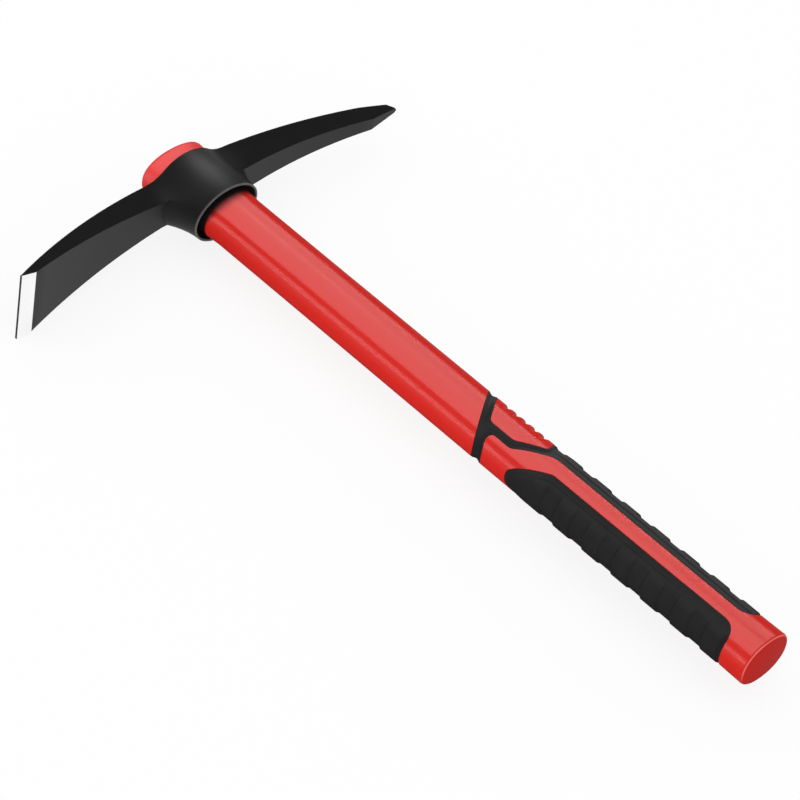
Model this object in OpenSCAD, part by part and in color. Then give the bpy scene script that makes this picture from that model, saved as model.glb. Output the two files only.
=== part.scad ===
// Small pick mattock: a slip-fit forged head on a moulded oval handle.
// The tool lies on its side. +X runs down the handle to the butt, +Y points to the pick,
// +Z is up, and the origin is under the middle of the tool.

/* [Handle] */
// Length from the eye's lower rim to the butt end
handle_len = 405; // [340:1:520]
// Width of the grip in the plane of the swing
handle_w = 33.4; // [32:0.1:34.5]
// Thickness of the handle across that plane
handle_t = 28.6; // [26:0.1:30]
// Width of the waist between the head and the grip
waist_w = 32.9; // [31:0.1:34]
// Fullness of the oval section, where 2 is an ellipse
oval_n = 2.2; // [2:0.05:2.6]
// Width of the crown above the head
crown_w = 43.8; // [42:0.1:47]
// How far the crown stands above the head
crown_rise = 11.2; // [6:0.1:16]
// Rounding of the crown's upper edge
crown_round = 2.6; // [1:0.1:4]
// Length below the eye over which the flare runs out
flare_run = 10; // [4:0.5:30]
// Distance from the eye's lower rim to the waist
waist_x = 71; // [50:1:100]
// Widening of the butt on each edge
butt_swell = 0.3; // [0:0.1:1]
// Rounding of the butt's end
butt_round = 1.8; // [1:0.1:4]
// Length of the plain red butt after the rubber pads
butt_cap = 17; // [12:0.5:30]
// Diameter of the glass-fibre core
core_d = 19; // [14:0.5:20]

/* [Grip] */
// Distance from the butt end to the slanted band
grip_len = 202; // [180:1:240]
// Width of the slanted band along the handle
band_w = 6.7; // [4:0.1:9]
// Slant of the band, as run along the handle over rise across it
band_slant = 0.65; // [0.3:0.01:0.9]
// Thickness of the rubber, from its recess to the top of the plates
rubber_t = 2.4; // [1.8:0.1:3]
// Height of the raised plates over the rest of the rubber
plate_h = 0.8; // [0.3:0.05:1]
// Length of one raised plate
plate_len = 11; // [7:0.5:14]
// Pitch of the raised plates
plate_pitch = 21; // [16:0.5:26]
// Smooth border beside the plates
pad_border = 3.2; // [2:0.1:5]
// Height of the stripe's pick-side edge over the handle's axis
stripe_top = 2.8; // [1:0.1:5]
// Depth of the stripe's blade-side edge under the handle's axis
stripe_low = 6; // [4:0.1:8]
// Length of the thumb rest behind the band
thumb_len = 35; // [28:0.5:42]
// Grooves in the thumb rest
thumb_grooves = 5; // [3:1:6]
// Pitch of those grooves
thumb_pitch = 6.8; // [5:0.1:8]
// Depth of those grooves
thumb_groove_depth = 1.1; // [0.4:0.1:1.3]

/* [Head] */
// Reach of the blade's edge from the handle's axis
blade_reach = 140; // [110:1:180]
// Reach of the pick's point from the handle's axis
pick_reach = 137; // [110:1:180]
// Height of the eye along the handle
eye_h = 36; // [32:0.5:44]
// Wall of the eye above its flared mouth
eye_wall = 3.2; // [2.4:0.1:5]
// Wall left at the very rim of the mouth
rim_land = 1.1; // [0.8:0.1:2]
// Length of the flared mouth along the handle
mouth_run = 8; // [4:0.5:12]
// Play between the handle and the eye
eye_play = 0.35; // [0.3:0.05:0.6]
// Gap between the handle and the eye above the mouth, in the plane of the swing
rim_gap = 2.2; // [1:0.1:3]
// Radius of the arch along the top of the head
arch_r = 390; // [340:5:460]
// Radius of the blade's underside
blade_under_r = 430; // [380:5:520]
// Thickness of the blade's root
blade_root_t = 17.4; // [15:0.1:19]
// Width of the blade's root
blade_root_w = 18.6; // [16:0.2:22]
// Width of the cutting edge
edge_w = 46.2; // [36:0.2:56]
// Length of the ground bevel
bevel_len = 9.4; // [6:0.2:14]
// Land left on the cutting edge
edge_land = 0.5; // [0.3:0.1:1]
// Radius of the pick's underside
pick_under_r = 300; // [270:5:380]
// Thickness of the pick's root
pick_root_t = 21.4; // [19:0.1:23]
// Width of the pick's root
pick_root_w = 16.8; // [14:0.2:20]
// Width of the pick where its point begins
pick_shoulder_w = 8; // [6:0.2:10]
// Width of the very point
point_w = 3; // [1:0.2:4]
// Length of the tapered point
point_len = 20; // [16:0.5:28]
// Rounding of the point, seen from the side
point_round = 5.5; // [3:0.5:7]
// Radius that blends the arms into the eye, seen from above
web_r = 18; // [8:1:26]

/* [Hidden] */
$fn = 96;
sides = 64;
bond_gap = 0.05;
past = 2;
arc_steps = 6;
round_step = 30;

// The handle's section is a full oval, and its flare widens in the plane of the swing alone
crown_top = -eye_h - crown_rise;
crown_wide = crown_top + crown_round;
function flare_w(x) = waist_w + (crown_w - waist_w) * (flare_run - x) / (flare_run - crown_wide);

// The eye follows the flare at its top, stands off the handle lower down and ends in a flared mouth
eye_t = handle_t + 2 * eye_play;
eye_top_w = flare_w(-eye_h) + 2 * eye_play;
eye_low_w = min(eye_top_w, flare_w(-mouth_run) + 2 * rim_gap);
boss_w = min(eye_top_w, flare_w(0) + 2 * rim_gap) + 2 * eye_wall;
boss_t = eye_t + 2 * eye_wall;
boss_n = 2;
mouth_w = boss_w - 2 * rim_land;
mouth_t = boss_t - 2 * rim_land;

// The skirt under the arms spreads from the rim in a hollow curve, out to the blade's root
skirt_steps = 5;
skirt_low = eye_h - blade_root_t;
skirt_out = 7.8;
function skirt_x(i) = -skirt_low * i / skirt_steps;
function skirt_w(i) = boss_w + 2 * skirt_out * pow(i / skirt_steps, 2);

// Each arm's underside is an arc whose highest point lies this far from the axis
blade_under_at = 36;
pick_under_at = 46;
arm_root = 30;
arch_x = -eye_h + arch_r;
blade_under_x = -eye_h + blade_root_t + blade_under_r;
pick_under_x = -eye_h + pick_root_t + pick_under_r;
function arch(y) = arch_x - sqrt(arch_r * arch_r - y * y);
function under(y, cx, cy, r) = cx - sqrt(r * r - (y - cy) * (y - cy));
bevel_start = blade_reach - bevel_len;
bevel_x = under(-bevel_start, blade_under_x, -blade_under_at, blade_under_r);
edge_x = arch(blade_reach) + edge_land;
point_start = pick_reach - point_len;
point_base_x = under(point_start, pick_under_x, pick_under_at, pick_under_r);
point_x = arch_x - sqrt(pow(arch_r - point_round, 2) - pow(pick_reach - point_round, 2));
point_round_y = (pick_reach - point_round) * arch_r / (arch_r - point_round);

// Places along the grip
band_x = handle_len - grip_len;
pad_end = handle_len - butt_cap;
out_y = handle_w / 2 + past;
branch_low = -9.9;
branch_high = -5.2;
branch_bend = 26.5;
thumb_bend = thumb_len - 10.5;
thumb_corner = 4.6;
thumb_corner_out = 5;
stripe_start = 47;
finger_start = 31;
finger_rise = -16.4;
finger_bend = 54.5;
plate_inset = 2;
stripe_gap = 0.6;
thumb_ring_y = 1.6;
thumb_wrap = 74;
thumb_ridge = 1.2;
function band_edge(y, side) = band_x + side * band_w / 2 - band_slant * y;

// Moves the handle's axis so that the tool stands on z = 0 about the origin
mid_x = (crown_top + handle_len) / 2;
mid_y = (pick_reach - blade_reach) / 2;
lift = max(edge_w, boss_t) / 2;
module placed() { translate([-mid_x, -mid_y, lift]) children(); }

// Extrudes an outline drawn in Y and Z along the handle, from x0 to x1
module along_x(x0, x1) { translate([x0, 0, 0]) rotate([90, 0, 90]) linear_extrude(x1 - x0) children(); }

// Extrudes an outline drawn in X and Y across the handle, right through
module across(t) { translate([0, 0, -t / 2]) linear_extrude(t) children(); }

function bulge(v, n) = sign(v) * pow(abs(v), 2 / n);
function oval(w, t, n) =
    [for (i = [0:sides - 1]) [w * bulge(cos(360 * i / sides), n), t * bulge(sin(360 * i / sides), n)] / 2];

module oval_bar(x0, x1, w, t, n = oval_n) { along_x(x0, x1) polygon(oval(w, t, n)); }

// Skins a row of oval slices [x, w, t, fullness], in the order of x, as one closed body
module loft(slices, n = oval_n) {
    last = (len(slices) - 1) * sides;
    rim = [for (i = [0:sides - 1]) i];
    walls = [for (low = [0:sides:last - sides], i = rim)
        let (a = low + i, b = low + (i + 1) % sides) each [[a, a + sides, b + sides], [a, b + sides, b]]];
    polyhedron(
        [for (s = slices, p = oval(s[1], s[2], is_undef(s[3]) ? n : s[3])) [s[0], p[0], p[1]]],
        concat([rim, [for (i = rim) last + sides - 1 - i]], walls));
}

// Slices of a rounded end of radius r, from its flat face at x to full size, where side is +1 or -1
function round_end(x, side, w, t, r) =
    [for (lean = [0:round_step:90]) let (inset = 2 * r * (1 - sin(lean)))
        [x + side * r * (1 - cos(lean)), w - inset, t - inset]];
function reversed(v) = [for (i = [len(v) - 1:-1:0]) v[i]];

// Corners [x, y, r] become points, with an arc of radius r at each corner
function unit(v) = v / norm(v);
function turn(a) = a > 180 ? a - 360 : a < -180 ? a + 360 : a;
function corner_arc(a, p, b, r) =
    let (u = unit(a - p), v = unit(b - p), half = acos(u * v) / 2)
    let (c = p + unit(u + v) * r / sin(half), setback = r / tan(half))
    let (from = p + u * setback - c, to = p + v * setback - c)
    let (start = atan2(from[1], from[0]), sweep = turn(atan2(to[1], to[0]) - start))
    [for (i = [0:arc_steps]) let (at = start + sweep * i / arc_steps) c + r * [cos(at), sin(at)]];
function flat(p) = [p[0], p[1]];
function rounded(pts) = let (n = len(pts))
    [for (i = [0:n - 1]) each pts[i][2] > 0
        ? corner_arc(flat(pts[(i + n - 1) % n]), flat(pts[i]), flat(pts[(i + 1) % n]), pts[i][2])
        : [flat(pts[i])]];

// Side view of both arms: a crescent under one arch, ground at the edge and at the point
module arms_side() {
    difference() {
        intersection() {
            translate([arch_x, 0]) circle(arch_r, $fn = 720);
            translate([-eye_h - past, -blade_reach]) square([eye_h + past, blade_reach + pick_reach]);
        }
        intersection() {
            translate([blade_under_x, -blade_under_at]) circle(blade_under_r, $fn = 720);
            translate([-eye_h, -blade_reach - past]) square([eye_h + past, blade_reach + past]);
        }
        intersection() {
            translate([pick_under_x, pick_under_at]) circle(pick_under_r, $fn = 720);
            translate([-eye_h, 0]) square([eye_h + past, pick_reach + past]);
        }
        polygon([[bevel_x, -bevel_start], [edge_x, -blade_reach], [edge_x, -blade_reach - past],
            [past, -blade_reach - past], [past, -bevel_start]]);
        polygon([[point_base_x, point_start], [past, point_start], [past, pick_reach + past],
            [point_x, pick_reach + past], [point_x, pick_reach]]);
        difference() {
            translate([-eye_h - past, point_round_y]) square([eye_h + 2 * past, point_round + past]);
            translate([point_x, pick_reach - point_round]) circle(point_round);
        }
    }
}

// Top view of the head: blade, eye and pick, with the inner corners blended
module head_plan() {
    offset(r = -web_r) offset(r = web_r) {
        polygon([[-blade_reach, edge_w / 2], [-arm_root, blade_root_w / 2], [0, blade_root_w / 2],
            [0, -blade_root_w / 2], [-arm_root, -blade_root_w / 2], [-blade_reach, -edge_w / 2]]);
        polygon([[0, pick_root_w / 2], [arm_root, pick_root_w / 2], [point_start, pick_shoulder_w / 2],
            [pick_reach, point_w / 2], [pick_reach, -point_w / 2], [point_start, -pick_shoulder_w / 2],
            [arm_root, -pick_root_w / 2], [0, -pick_root_w / 2]]);
        polygon(oval(boss_w, boss_t, boss_n));
    }
}

module skirt() {
    loft([for (i = [skirt_steps:-1:0]) [skirt_x(i), skirt_w(i), boss_t]], boss_n);
}

module eye() {
    loft([
        [-eye_h - past, eye_top_w, eye_t],
        [-eye_h, eye_top_w, eye_t],
        [-mouth_run, eye_low_w, eye_t],
        [0, mouth_w, mouth_t, boss_n],
        [past, mouth_w, mouth_t, boss_n]]);
}

module pick_head() {
    color("#242424") placed() difference() {
        intersection() {
            along_x(-eye_h - past, past) head_plan();
            union() {
                across(2 * lift + past) arms_side();
                intersection() {
                    oval_bar(-eye_h - past, 0, boss_w, boss_t, boss_n);
                    across(2 * lift + past) translate([arch_x, 0]) circle(arch_r, $fn = 720);
                }
                skirt();
            }
        }
        eye();
    }
}

module core(gap) {
    translate([-eye_h, 0, 0]) rotate([0, 90, 0]) cylinder(d = core_d + 2 * gap, h = eye_h + pad_end);
}

module core_rod() { color("#e8e2c8") placed() core(0); }

// Crown, flare, waist, grip and butt, from the top to the end
module handle_body() {
    butt_w = handle_w + 2 * butt_swell;
    butt_t = handle_t + 2 * butt_swell;
    loft(concat(
        round_end(crown_top, 1, crown_w, handle_t, crown_round),
        [[flare_run, waist_w, handle_t], [waist_x, waist_w, handle_t], [band_x, handle_w, handle_t],
            [pad_end, handle_w, handle_t]],
        reversed(round_end(handle_len, -1, butt_w, butt_t, butt_round))));
}

// Red thumb rest, open to the pick-side edge, is what the branch of the back grip leaves free
module back_outline() {
    polygon(rounded([
        [band_edge(out_y, -1), out_y, 0],
        [band_edge(-out_y, -1), -out_y, 0],
        [band_edge(-out_y, 1), -out_y, 0],
        [band_edge(branch_low, 1), branch_low, 3],
        [band_x + branch_bend, branch_low, 6],
        [band_x + stripe_start, stripe_top, 14],
        [pad_end, stripe_top, 9],
        [pad_end, out_y, 0],
        [band_x + thumb_len, out_y, 0],
        [band_x + thumb_len + thumb_corner_out, thumb_corner, 2.5],
        [band_x + thumb_bend, branch_high, 6],
        [band_edge(branch_high, 1), branch_high, 4],
        [band_edge(out_y, 1), out_y, 0]]));
}

module finger_outline() {
    polygon(rounded([
        [band_x + finger_start, -out_y, 0],
        [band_x + finger_start, finger_rise, 2],
        [band_x + finger_bend, -stripe_low, 8],
        [pad_end + stripe_gap, -stripe_low, 9],
        [pad_end + stripe_gap, -out_y, 0]]));
}

// Raised plates, counted back from the end of the pad, after a raised lead-in where one is asked for
module plates(from, y0, y1, lead = 0) {
    last = pad_end - plate_inset - plate_len;
    count = floor((last - from) / plate_pitch) + 1;
    first = last - (count - 1) * plate_pitch;
    intersection() {
        union() {
            for (i = [0:count - 1])
                oval_bar(first + i * plate_pitch, first + i * plate_pitch + plate_len, handle_w, handle_t);
            if (lead > 0)
                oval_bar(lead, first + plate_len - plate_pitch, handle_w, handle_t);
        }
        translate([0, y0, -handle_t]) cube([handle_len, y1 - y0, 2 * handle_t]);
    }
}

module rubber_floor(gap) {
    oval_bar(0, handle_len, handle_w - 2 * (rubber_t - gap), handle_t - 2 * (rubber_t - gap));
}

module rubber_skin() { oval_bar(0, handle_len, handle_w - 2 * plate_h, handle_t - 2 * plate_h); }

module recess() {
    difference() {
        across(handle_t + 2 * past) {
            back_outline();
            finger_outline();
        }
        rubber_floor(0);
    }
}

// Scallops that wrap round the pick-side edge and run out on the broad faces
module thumb_cuts() {
    radius = (pow(thumb_pitch - thumb_ridge, 2) / 4 + pow(thumb_groove_depth, 2)) / (2 * thumb_groove_depth);
    ring_r = handle_w / 2 - thumb_ring_y - thumb_groove_depth + radius;
    middle = (band_edge(thumb_ring_y + ring_r / 2, 1) + band_x + thumb_len + thumb_corner_out / 2) / 2;
    for (i = [0:thumb_grooves - 1])
        translate([middle + (i - (thumb_grooves - 1) / 2) * thumb_pitch, thumb_ring_y, 0])
            rotate([0, 90, 0]) rotate([0, 0, 90 - thumb_wrap])
                rotate_extrude(angle = 2 * thumb_wrap) translate([ring_r, 0]) circle(radius);
}

module handle_jacket() {
    color("#d5261f") placed() difference() {
        handle_body();
        core(bond_gap);
        recess();
        thumb_cuts();
    }
}

module back_grip() {
    color("#2a2a2c") placed() intersection() {
        across(handle_t + 2 * past) back_outline();
        difference() {
            union() {
                rubber_skin();
                plates(band_x + stripe_start - plate_len / 2, stripe_top + pad_border, out_y);
            }
            rubber_floor(bond_gap);
        }
    }
}

module finger_grip() {
    color("#2a2a2c") placed() intersection() {
        across(handle_t + 2 * past) finger_outline();
        difference() {
            union() {
                rubber_skin();
                plates(band_x + finger_bend, -out_y, -stripe_low - pad_border, band_x);
            }
            rubber_floor(bond_gap);
        }
    }
}

pick_head();
core_rod();
handle_jacket();
back_grip();
finger_grip();
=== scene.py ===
# %% [markdown]
# # A short pick mattock
#
# The tool has a forged black head, with a pick on one side and an adze blade on the other, slipped
# over the flared crown of a moulded red handle. Black rubber pads are let into the grip. The packed
# model holds every piece at its real size and place, so this lesson only dresses it: it reads the
# places from the model, refines the meshes and gives each surface its finish.

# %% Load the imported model
import math

import bmesh
import bpy
import numpy as np
from mathutils import Matrix, Vector
from mathutils.kdtree import KDTree

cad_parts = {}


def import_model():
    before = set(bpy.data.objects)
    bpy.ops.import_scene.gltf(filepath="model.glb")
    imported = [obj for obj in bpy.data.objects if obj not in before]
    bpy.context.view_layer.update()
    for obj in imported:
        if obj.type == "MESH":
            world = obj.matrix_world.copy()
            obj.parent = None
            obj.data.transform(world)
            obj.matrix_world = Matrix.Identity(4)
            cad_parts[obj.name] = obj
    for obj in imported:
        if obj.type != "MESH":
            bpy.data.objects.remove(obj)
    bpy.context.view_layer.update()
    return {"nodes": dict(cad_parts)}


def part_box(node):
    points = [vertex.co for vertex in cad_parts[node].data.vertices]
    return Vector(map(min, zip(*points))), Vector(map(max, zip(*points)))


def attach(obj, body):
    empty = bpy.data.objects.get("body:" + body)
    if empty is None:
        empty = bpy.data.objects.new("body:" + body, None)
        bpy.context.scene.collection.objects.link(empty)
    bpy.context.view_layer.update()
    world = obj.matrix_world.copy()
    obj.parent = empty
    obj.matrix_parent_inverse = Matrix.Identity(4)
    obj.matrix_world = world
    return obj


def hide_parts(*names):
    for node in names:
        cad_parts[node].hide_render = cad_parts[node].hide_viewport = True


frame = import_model()

# %% [markdown]
# ## One set of axes along the handle
#
# It is easier to think in millimetres along the handle than in metres about the whole tool. Here x
# is counted from the eye's lower rim towards the butt, y from the handle's axis towards the pick,
# and z up from that axis. The rim and the axis are read from the boxes of the head and the handle.

# %% Handle axes
MM = 0.001
jacket_low, jacket_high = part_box("handle_jacket")
RIM_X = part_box("pick_head")[1].x
HANDLE_W, HANDLE_T = 33.4, 28.6
AXIS = Vector((RIM_X, (jacket_low.y + jacket_high.y) / 2, (jacket_low.z + jacket_high.z) / 2))
TO_FRAME = Matrix.Translation(AXIS) @ Matrix.Scale(MM, 4)
TO_HANDLE = TO_FRAME.inverted()
BUTT_X = (TO_HANDLE @ jacket_high).x
CROWN_X = (TO_HANDLE @ jacket_low).x
print("handle from", round(CROWN_X, 1), "to", round(BUTT_X, 1), "mm")

# %% [markdown]
# ## Camera
#
# The camera looks down on the broad face from the blade's side, with a long lens, so the handle
# runs down to the right and the head lies across the upper left. Its place is given as two angles,
# a roll, a distance and the point it looks at, seen from the eye's rim.

# %% Camera
VIEW_AZIMUTH = math.radians(38.61)
VIEW_ELEVATION = math.radians(44.75)
VIEW_ROLL = math.radians(10.66)
VIEW_DISTANCE = 2.0673
VIEW_BACK = Vector((math.sin(VIEW_AZIMUTH) * math.cos(VIEW_ELEVATION),
                    -math.cos(VIEW_AZIMUTH) * math.cos(VIEW_ELEVATION), math.sin(VIEW_ELEVATION)))
AIM_RIGHT, AIM_UP = 0.09515, -0.10287
FOCAL_PIXELS, IMAGE_PIXELS = 3769.8, 800
SENSOR_MM = 36


def place_camera():
    level = Vector((math.cos(VIEW_AZIMUTH), math.sin(VIEW_AZIMUTH), 0))
    rise = VIEW_BACK.cross(level)
    right = math.cos(VIEW_ROLL) * level + math.sin(VIEW_ROLL) * rise
    up = math.cos(VIEW_ROLL) * rise - math.sin(VIEW_ROLL) * level
    lens = bpy.data.cameras.new("camera")
    lens.sensor_width = SENSOR_MM
    lens.lens = FOCAL_PIXELS / IMAGE_PIXELS * SENSOR_MM
    camera = bpy.data.objects.new("camera", lens)
    bpy.context.scene.collection.objects.link(camera)
    spot = AXIS + AIM_RIGHT * right + AIM_UP * up + VIEW_DISTANCE * VIEW_BACK
    turn = Matrix((right, up, VIEW_BACK)).transposed().to_4x4()
    camera.matrix_world = Matrix.Translation(spot) @ turn
    bpy.context.scene.camera = camera
    return camera


camera = place_camera()
print("lens", round(camera.data.lens, 1), "mm")

# %% [markdown]
# ## Shader expressions
#
# A finish is easier to read as arithmetic than as a list of nodes. `Value` wraps one socket, and an
# expression on values adds the Math nodes that it needs. `Finish.node` makes any other node.


# %% Shader expressions
class Value:
    def __init__(self, finish, socket):
        self.finish, self.socket = finish, socket

    def math(self, operation, *others):
        return self.finish.node("ShaderNodeMath", {"operation": operation}, dict(enumerate((self, *others))))

    def __add__(self, other):
        return self.math("ADD", other)

    __radd__ = __add__

    def __sub__(self, other):
        return self.math("SUBTRACT", other)

    def __rsub__(self, other):
        return (self * -1.0) + other

    def __mul__(self, other):
        return self.math("MULTIPLY", other)

    __rmul__ = __mul__

    def clamp(self):
        return self.math("MAXIMUM", 0.0).math("MINIMUM", 1.0)

    def ramp(self, low, high):
        return self.finish.node("ShaderNodeMapRange", {"interpolation_type": "SMOOTHSTEP"},
                                {"Value": self, "From Min": low, "From Max": high}, output="Result")


class Finish:
    def __init__(self, name):
        self.material = bpy.data.materials.new(name)
        self.material.use_nodes = True
        self.tree = self.material.node_tree
        self.shader = self.tree.nodes["Principled BSDF"]

    def node(self, kind, settings=None, inputs=None, output=0):
        made = self.tree.nodes.new(kind)
        for name, setting in (settings or {}).items():
            setattr(made, name, setting)
        for name, source in (inputs or {}).items():
            self.feed(made.inputs[name], source)
        return Value(self, made.outputs[output])

    def feed(self, socket, source):
        if isinstance(source, Value):
            self.tree.links.new(source.socket, socket)
        else:
            socket.default_value = source

    def place(self, scale=(1, 1, 1)):
        spot = self.node("ShaderNodeTexCoord", output="Object")
        return self.node("ShaderNodeMapping", {"vector_type": "POINT"}, {"Vector": spot, "Scale": scale})

    def noise(self, size, detail=2.0, scale=(1, 1, 1)):
        return self.node("ShaderNodeTexNoise", None,
                         {"Vector": self.place(scale), "Scale": 1 / size, "Detail": detail})

    def along(self, axis):
        spot = self.node("ShaderNodeTexCoord", output="Object")
        return self.node("ShaderNodeSeparateXYZ", None, {"Vector": spot}, output=axis)

    # The Mix node has sockets for each kind of data: colours are inputs 6 and 7 and output 2.
    def mix(self, share, first, second):
        return self.node("ShaderNodeMix", {"data_type": "RGBA"}, {0: share, 6: first, 7: second}, output=2)

    def layer(self, share, **sockets):
        named = {name.replace("_", " "): source for name, source in sockets.items()}
        over = self.node("ShaderNodeBsdfPrincipled", None, named)
        under = Value(self, self.shader.outputs[0])
        mixed = self.node("ShaderNodeMixShader", None, {0: share, 1: under, 2: over})
        self.feed(self.tree.nodes["Material Output"].inputs["Surface"], mixed)

    def bump(self, height, depth, strength):
        return self.node("ShaderNodeBump", None, {"Height": height, "Distance": depth, "Strength": strength})

    def surface(self, **sockets):
        for name, source in sockets.items():
            self.feed(self.shader.inputs[name.replace("_", " ")], source)
        return self.material


# %% [markdown]
# ## Red plastic
#
# The handle is a semi-gloss moulding. What gives moulded plastic away is a very slight unevenness:
# the gloss wanders a little and the skin has a faint ripple, so that a reflected light has a soft edge.
# The crown is painted paler, as painted light where it catches more light, and a painted highlight runs along
# the upper rim of the butt. A matt black painted shadow lies on the handle where it goes into the eye's
# mouth, widest on the upper side. These are masks measured along the handle from the eye's rim.

# %% Red plastic
RED = (0.585, 0.0125, 0.0074)
RED_DEEP = (0.55, 0.0112, 0.0068)
# A paler red painted on the crown, as painted light.
RED_CROWN_LIT = (0.72, 0.022, 0.018)
# A pale pink painted along the upper rim of the butt, as a painted highlight.
RED_BUTT_HIGHLIGHT = (0.84, 0.19, 0.17)
RED_CLOUD, RED_RIPPLE = 20 * MM, 6 * MM
RED_ROUGH, RED_ROUGH_CLOUD, RED_ROUGH_CROWN = 0.17, 0.08, 0.2
RED_SPECULAR = 0.3
RIPPLE_DEPTH, RIPPLE_STRENGTH = 0.004 * MM, 0.15
# Where the painted highlight on the butt's rim lies, how high round the handle it reaches, and how uneven it
# is.
BUTT_HIGHLIGHT_AT = (-1.1, -0.65, -0.5, -0.2)
BUTT_HIGHLIGHT_LOW, BUTT_HIGHLIGHT_HIGH = -9.0, 4.0
BUTT_HIGHLIGHT_EVEN, BUTT_HIGHLIGHT_CLOUD = 0.6, 0.4
# Where the painted light on the crown starts and ends, and how much of it shows.
CROWN_LIT_FROM, CROWN_LIT_TO, CROWN_LIT_SHARE = -30.0, -37.0, 0.9
# A matt black painted shadow on the handle at the eye's mouth, and where it starts, is full and fades.
MOUTH_SHADOW_BLACK, MOUTH_SHADOW_ROUGH = (0.006, 0.005, 0.005), 0.8
MOUTH_SHADOW_START, MOUTH_SHADOW_FULL, MOUTH_SHADOW_FADE = -9.0, -5.0, 1.0
MOUTH_SHADOW_END_SIDE, MOUTH_SHADOW_END_TOP = 2.5, 9.0


def red_plastic():
    finish = Finish("red_plastic")
    cloud = finish.noise(RED_CLOUD)
    ripple = finish.noise(RED_RIPPLE, detail=0.0)
    from_rim = (finish.along("X") - RIM_X) * (1 / MM)
    height = (finish.along("Z") - AXIS.z) * (1 / MM)
    plain = finish.mix(cloud, (*RED, 1), (*RED_DEEP, 1))
    # Painted light: the crown is painted paler, and it is also a little rougher.
    crown_lit = from_rim.ramp(CROWN_LIT_FROM, CROWN_LIT_TO)
    # Painted shadow at the eye's mouth: it reaches further along the handle on the upper side.
    mouth_shadow_end = MOUTH_SHADOW_END_SIDE + height.ramp(0.0, HANDLE_T / 2) * (MOUTH_SHADOW_END_TOP - MOUTH_SHADOW_END_SIDE)
    mouth_shadow = from_rim.ramp(MOUTH_SHADOW_START, MOUTH_SHADOW_FULL) * (1 - from_rim.ramp(MOUTH_SHADOW_FADE, mouth_shadow_end))
    # Painted highlight along the upper rim of the butt, uneven with the cloud.
    highlight_0, highlight_1, highlight_2, highlight_3 = (BUTT_X + at for at in BUTT_HIGHLIGHT_AT)
    butt_highlight = from_rim.ramp(highlight_0, highlight_1) * (1 - from_rim.ramp(highlight_2, highlight_3))
    butt_highlight = butt_highlight * height.ramp(BUTT_HIGHLIGHT_LOW, BUTT_HIGHLIGHT_HIGH) * (BUTT_HIGHLIGHT_EVEN + cloud * BUTT_HIGHLIGHT_CLOUD)
    red_lit_crown = finish.mix(crown_lit * CROWN_LIT_SHARE, plain, (*RED_CROWN_LIT, 1))
    finish.surface(
        Base_Color=finish.mix(butt_highlight, red_lit_crown, (*RED_BUTT_HIGHLIGHT, 1)),
        Roughness=RED_ROUGH + cloud * RED_ROUGH_CLOUD + crown_lit * RED_ROUGH_CROWN,
        Specular_IOR_Level=RED_SPECULAR,
        Normal=finish.bump(ripple, RIPPLE_DEPTH, RIPPLE_STRENGTH))
    # The painted shadow is laid over as a matt black layer with no gloss.
    finish.layer(mouth_shadow, Base_Color=(*MOUTH_SHADOW_BLACK, 1), Roughness=MOUTH_SHADOW_ROUGH, Specular_IOR_Level=0.0)
    return finish.material


# %% [markdown]
# ## Black enamel and ground steel
#
# The head is forged, so its skin is not dead flat, and it is dipped in satin black enamel. A lighter grey
# line is painted round the rim of the eye as a painted highlight. Along the cutting edge a grinder has taken
# the enamel off and left fine scratches across the bevel.

# %% Black enamel and ground steel
ENAMEL = (0.0108, 0.0108, 0.0108)
ENAMEL_WORN = (0.0148, 0.0148, 0.0148)
ENAMEL_CLOUD, ENAMEL_SKIN, ENAMEL_GRIT = 18 * MM, 6 * MM, 0.7 * MM
ENAMEL_ROUGH, ENAMEL_ROUGH_CLOUD, ENAMEL_ROUGH_GRIT = 0.52, 0.08, 0.03
ENAMEL_SPECULAR = 0.24
SKIN_DEPTH, SKIN_STRENGTH, GRIT_SHARE = 0.05 * MM, 0.2, 0.04
# A light grey painted round the rim of the eye, as a painted highlight, and where it lies.
RIM_HIGHLIGHT_GREY = (0.10, 0.10, 0.10)
RIM_HIGHLIGHT_FROM, RIM_HIGHLIGHT_TO = -1.1, -0.3
RIM_HIGHLIGHT_EVEN, RIM_HIGHLIGHT_SKIN = 0.55, 0.6
STEEL = (0.93, 0.93, 0.93)
STEEL_DULL = (0.86, 0.86, 0.865)
STEEL_CLOUD = 12 * MM
STEEL_ROUGH, STEEL_ROUGH_SCRATCH = 0.24, 0.12
SCRATCH_SIZE, SCRATCH_SQUEEZE = 4 * MM, (1.0, 1.0, 26.0)
SCRATCH_DEPTH, SCRATCH_STRENGTH = 0.04 * MM, 0.4


def black_enamel():
    finish = Finish("black_enamel")
    cloud = finish.noise(ENAMEL_CLOUD, detail=3.0)
    skin = finish.noise(ENAMEL_SKIN, detail=3.0)
    grit = finish.noise(ENAMEL_GRIT, detail=1.0)
    from_rim = (finish.along("X") - RIM_X) * (1 / MM)
    # Painted highlight: a lighter line round the rim of the eye, uneven with the skin.
    rim_highlight = from_rim.ramp(RIM_HIGHLIGHT_FROM, RIM_HIGHLIGHT_TO) * (RIM_HIGHLIGHT_EVEN + skin * RIM_HIGHLIGHT_SKIN)
    plain = finish.mix(cloud, (*ENAMEL, 1), (*ENAMEL_WORN, 1))
    return finish.surface(
        Base_Color=finish.mix(rim_highlight, plain, (*RIM_HIGHLIGHT_GREY, 1)),
        Roughness=ENAMEL_ROUGH + cloud * ENAMEL_ROUGH_CLOUD + grit * ENAMEL_ROUGH_GRIT,
        Specular_IOR_Level=ENAMEL_SPECULAR,
        Normal=finish.bump(skin + grit * GRIT_SHARE, SKIN_DEPTH, SKIN_STRENGTH))


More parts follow.
